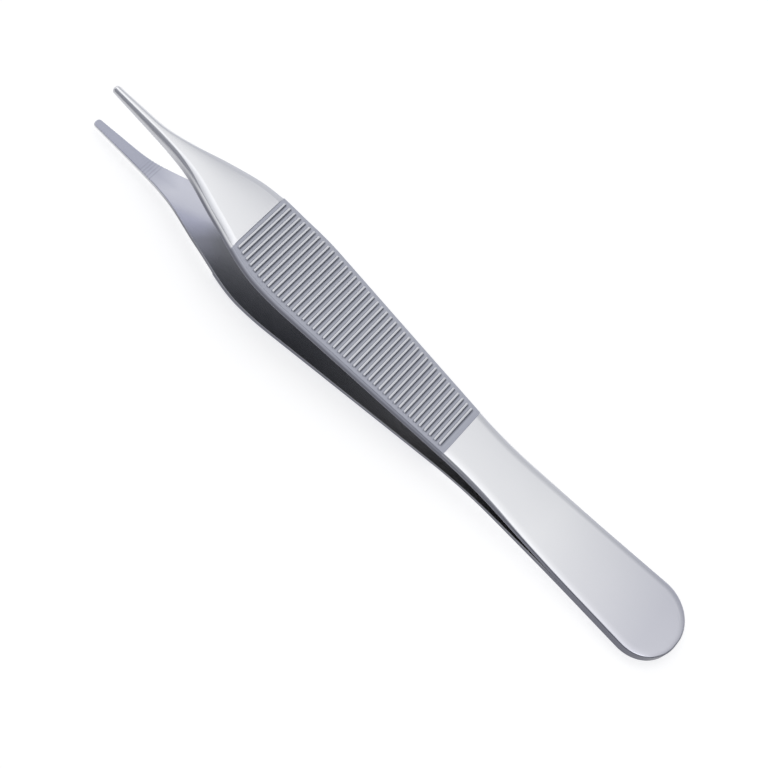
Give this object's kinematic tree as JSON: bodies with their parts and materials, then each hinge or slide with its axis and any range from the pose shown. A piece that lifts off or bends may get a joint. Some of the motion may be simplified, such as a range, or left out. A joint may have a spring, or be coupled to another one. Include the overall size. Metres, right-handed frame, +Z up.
{
  "type": "thumb forceps",
  "caption": "Stainless thumb forceps: two spring arms joined at a rounded tail, with ribbed grip panels, wide shoulders and slim serrated noses, shown open",
  "frame": {"origin": "middle of the forceps' box, on the surface that they lie on", "axes": "+X from the joined tail to the open tips, +Z up, the upper arm above the lower arm"},
  "size_m": [0.1202, 0.0154, 0.0123],
  "materials": {
    "steel": "satin polished stainless steel"
  },
  "bodies": {
    "root": {"upper_arm": "steel", "lower_arm": "steel"}
  },
  "joints": []
}
